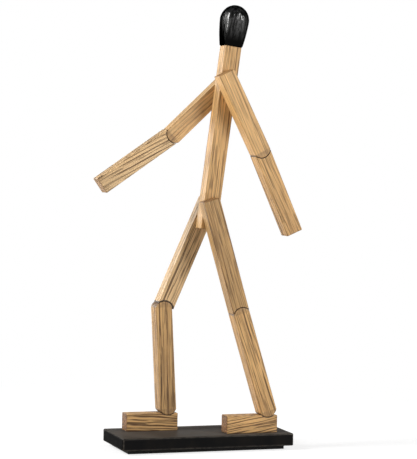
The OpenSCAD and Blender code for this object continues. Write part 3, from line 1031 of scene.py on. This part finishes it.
plate_half, plate_middle = half_and_middle(*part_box("base_plate"))
coat, bench, surface = new_material("base_coat")
on_plate = placed(bench, plate_middle, 0.0)
cloud = bench.noise(on_plate, 3.0, 0.6, COAT_CLOUD)
peel = bench.noise(on_plate, 1.0, scale=ORANGE_PEEL)
dust = bench.between(bench.noise(on_plate, 2.0, 0.7, DUST_SPECKS), 0.66, 0.74)
rub = bench.group(edge_tree, {"Place in stick": on_plate, "Half size": plate_half, "Reach": SCUFF_REACH})["Rub"]
upward = bench.parts(bench.coordinate("Normal"))[2]
# Painted reflection on the upward faces, real wear on the edges.
reflection_and_scuffs = bench.times(bench.between(upward, 0.6, 0.95), bench.between(cloud, 0.3, 0.7, 0.75, 1.0))
reflection_and_scuffs = bench.larger(reflection_and_scuffs, bench.times(rub, SCUFFED_EDGE))
tint = bench.mixed(bench.between(cloud, 0.35, 0.7), COAT_BLACK, COAT_BROWN)
tint = bench.mixed(reflection_and_scuffs, tint, TOP_REFLECTION_AND_SCUFF_BROWN)
tint = bench.mixed(bench.times(dust, DUST_SHARE), tint, DUST)
satin = bench.between(cloud, 0.3, 0.75, *COAT_ROUGHNESS)
dress(bench, surface, {
    "Base Color": tint, "Roughness": bench.summed(satin, (reflection_and_scuffs, TOP_AND_SCUFF_DULL)), "Specular IOR Level": 0.0,
    "Metallic": bench.between(reflection_and_scuffs, 0.0, 1.0, 1.0, TOP_AND_SCUFF_METAL, smooth=False),
    "Specular Tint": bench.mixed(reflection_and_scuffs, COAT_EDGE_SHINE, TOP_AND_SCUFF_SHINE),
}, bench.times(peel, PEEL_HEIGHT), strength=0.5)
print("coat:", len(coat.node_tree.nodes), "nodes")

# %% Rubber
RUBBER_BLACK = grey(0.010)
RUBBER_BLOOM = (0.022, 0.021, 0.020, 1)
RUBBER_SPECULAR = 0.2
STIPPLE = 1.8
STIPPLE_HEIGHT = 0.08
BLOOM = 0.12

pad_half, pad_middle = half_and_middle(*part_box("base_pad"))
rubber, bench, surface = new_material("black_rubber")
on_pad = placed(bench, pad_middle, 0.0)
stipple = bench.noise(on_pad, 2.0, scale=STIPPLE)
bloom = bench.noise(on_pad, 2.0, scale=BLOOM)
dress(bench, surface, {
    "Base Color": bench.mixed(bloom, RUBBER_BLACK, RUBBER_BLOOM), "Specular IOR Level": RUBBER_SPECULAR,
    "Roughness": bench.between(stipple, 0.3, 0.7, 0.7, 0.9),
}, bench.times(stipple, STIPPLE_HEIGHT), strength=0.6)
print("rubber:", len(rubber.node_tree.nodes), "nodes")

# %% Plate and pad
PLATE_ARRISES = (1.1, 0.9, 0.9)
PAD_ARRISES = (0.5, 0.4, 0.4)
origin = Vector((0, 0, 0))
block_piece("base_plate", "base", coat, plate_half, plate_middle, origin, arrises=PLATE_ARRISES)
block_piece("base_pad", "base", rubber, pad_half, pad_middle, origin, arrises=PAD_ARRISES)

# %% [markdown]
# ## Hidden metal, plugs and dowel
#
# The hinge tongues, pins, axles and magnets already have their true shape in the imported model, so they stay
# and get finishes. A plug over a pin takes the finish of the stick it is in, and so its grain runs on
# without a break.

# %% Steel and nickel
METAL_SHADE = 0.72
SMEAR = 0.4
DRAWN_HEIGHT = 0.01


def metal(name, colour, dull, lines):
    """A metal with fine drawn lines: their direction comes from how the pattern is stretched."""
    material, bench, surface = new_material(name)
    place = placed(bench, origin, 0.0)
    drawn = bench.noise(bench.vector("MULTIPLY", place, lines), 2.0)
    smear = bench.noise(place, 2.0, scale=SMEAR)
    darker = tuple(METAL_SHADE * c for c in colour[:3]) + (1,)
    dress(bench, surface, {
        "Base Color": bench.mixed(bench.times(drawn, smear), colour, darker), "Metallic": 1.0,
        "Roughness": bench.between(drawn, 0.25, 0.75, dull - 0.08, dull + 0.1),
    }, bench.times(drawn, DRAWN_HEIGHT), strength=0.4)
    return material


steel = metal("drawn_steel", (0.60, 0.61, 0.63, 1), 0.34, (4.0, 0.3, 4.0))
nickel = metal("nickel_plate", (0.64, 0.62, 0.58, 1), 0.26, (1.2, 1.2, 1.2))
print("metals:", steel.name, "and", nickel.name)

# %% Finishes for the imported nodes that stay
OWNERS = {"head_dowel": "torso"}
for side in SIDES:
    OWNERS[f"{side}_elbow_plug"] = f"{side}_upper_arm"
    OWNERS[f"{side}_knee_plug"] = OWNERS[f"{side}_ankle_plug"] = f"{side}_shin"
for name, node in nodes.items():
    if node.hide_render:
        continue
    if name in OWNERS:
        finish = finishes[OWNERS[name]]
    elif name.endswith("magnets"):
        finish = nickel
    elif name.endswith("rings"):
        finish = rubber
    else:
        finish = steel
    for held in node.material_slots:
        held.material = finish
    print(name, "takes", finish.name)

# %% [markdown]
# ## Studio
#
# The photograph has a white ground and soft light from the left, from the front right and faintly from behind.
# The floor is white paint near the figure, so that it keeps its shadow, and fades to plain white further out.
# It lies a hair below the pad and is clear from below, so the underside can be looked at too.
# The world is white only to the camera and to reflections, which see a dimmer ceiling. For lighting it is
# an even fill.

# %% White floor
WHITE = grey(1.0)
FLOOR_HALF = 6.0
FLOOR_LEVEL = -0.0001
FLOOR_BOUNCE = 0.75
SHADOW_NEAR = 0.12
SHADOW_FAR = 0.40
SHADOW_SHARE = 0.45
NEAR_GLOW = 0.72

floor_mesh = bpy.data.meshes.new("floor")
floor_corners = [(x * FLOOR_HALF, y * FLOOR_HALF, FLOOR_LEVEL) for x, y in ((-1, -1), (1, -1), (1, 1), (-1, 1))]
floor_mesh.from_pydata(floor_corners, [], [(0, 1, 2, 3)])
floor = in_scene("floor", floor_mesh)


def seen_directly(bench):
    """One for rays from the camera, from reflections and through clear things, and none for the rest."""
    path = bench.add("ShaderNodeLightPath").outputs
    seen = bench.larger(path["Is Camera Ray"], path["Is Glossy Ray"])
    return bench.larger(seen, path["Is Transmission Ray"])


paint = bpy.data.materials.new("white_floor")
bench = cleared_bench(paint)
matt, faint = [bench.add("ShaderNodeBsdfDiffuse", {"Color": grey(level)}).outputs[0]
               for level in (FLOOR_BOUNCE, SHADOW_SHARE)]
glow, plain = [bench.add("ShaderNodeEmission", {"Color": WHITE, "Strength": level}).outputs[0]
               for level in (NEAR_GLOW, 1.0)]
near = bench.add("ShaderNodeAddShader", {0: faint, 1: glow}).outputs[0]
spread = bench.vector("LENGTH", bench.coordinate("Object"))
shown = bench.blended(bench.between(spread, SHADOW_NEAR, SHADOW_FAR), near, plain)
painted = bench.blended(seen_directly(bench), matt, shown)
from_below = bench.add("ShaderNodeNewGeometry").outputs["Backfacing"]
clear = bench.add("ShaderNodeBsdfTransparent").outputs[0]
bench.add("ShaderNodeOutputMaterial", {"Surface": bench.blended(from_below, painted, clear)})
floor_mesh.materials.append(paint)
print("floor", 2 * FLOOR_HALF, "m wide")

# %% World
FILL_LEVEL = 0.095
CEILING_LEVEL = 0.3
CEILING_LOW = 0.12
CEILING_HIGH = 0.4

world = bpy.data.worlds.new("studio")
bench = cleared_bench(world)
fill, white, ceiling = [bench.add("ShaderNodeBackground", {"Color": WHITE, "Strength": level}).outputs[0]
                        for level in (FILL_LEVEL, 1.0, CEILING_LEVEL)]
upward = bench.parts(bench.coordinate("Object"))[2]
reflected = bench.add("ShaderNodeLightPath").outputs["Is Glossy Ray"]
overhead = bench.times(bench.between(upward, CEILING_LOW, CEILING_HIGH), reflected)
shown = bench.blended(overhead, white, ceiling)
bench.add("ShaderNodeOutputWorld", {"Surface": bench.blended(seen_directly(bench), fill, shown)})
bpy.context.scene.world = world
bpy.context.scene.view_settings.view_transform = "Standard"
print("world fill", FILL_LEVEL)

# %% Lamps
LAMPS = {
    "left_softbox": {"place": (-1.25, 0.03, 0.82), "size": (0.4, 1.0), "power": 20.0},
    "front_softbox": {"place": (0.84, -1.10, 0.68), "size": (0.5, 1.0), "power": 14.6},
    "back_softbox": {"place": (-0.45, 1.25, 0.3), "size": (0.5, 0.8), "power": 3.5},
}
AIM = Vector((0.0, 0.0, 0.16))

for name, lamp in LAMPS.items():
    light = bpy.data.lights.new(name, "AREA")
    light.shape = "RECTANGLE"
    light.size, light.size_y = lamp["size"]
    light.energy = lamp["power"]
    holder = in_scene(name, light)
    holder.location = lamp["place"]
    holder.rotation_euler = (AIM - holder.location).to_track_quat("-Z", "Y").to_euler()
    print(name, lamp["power"], "W")
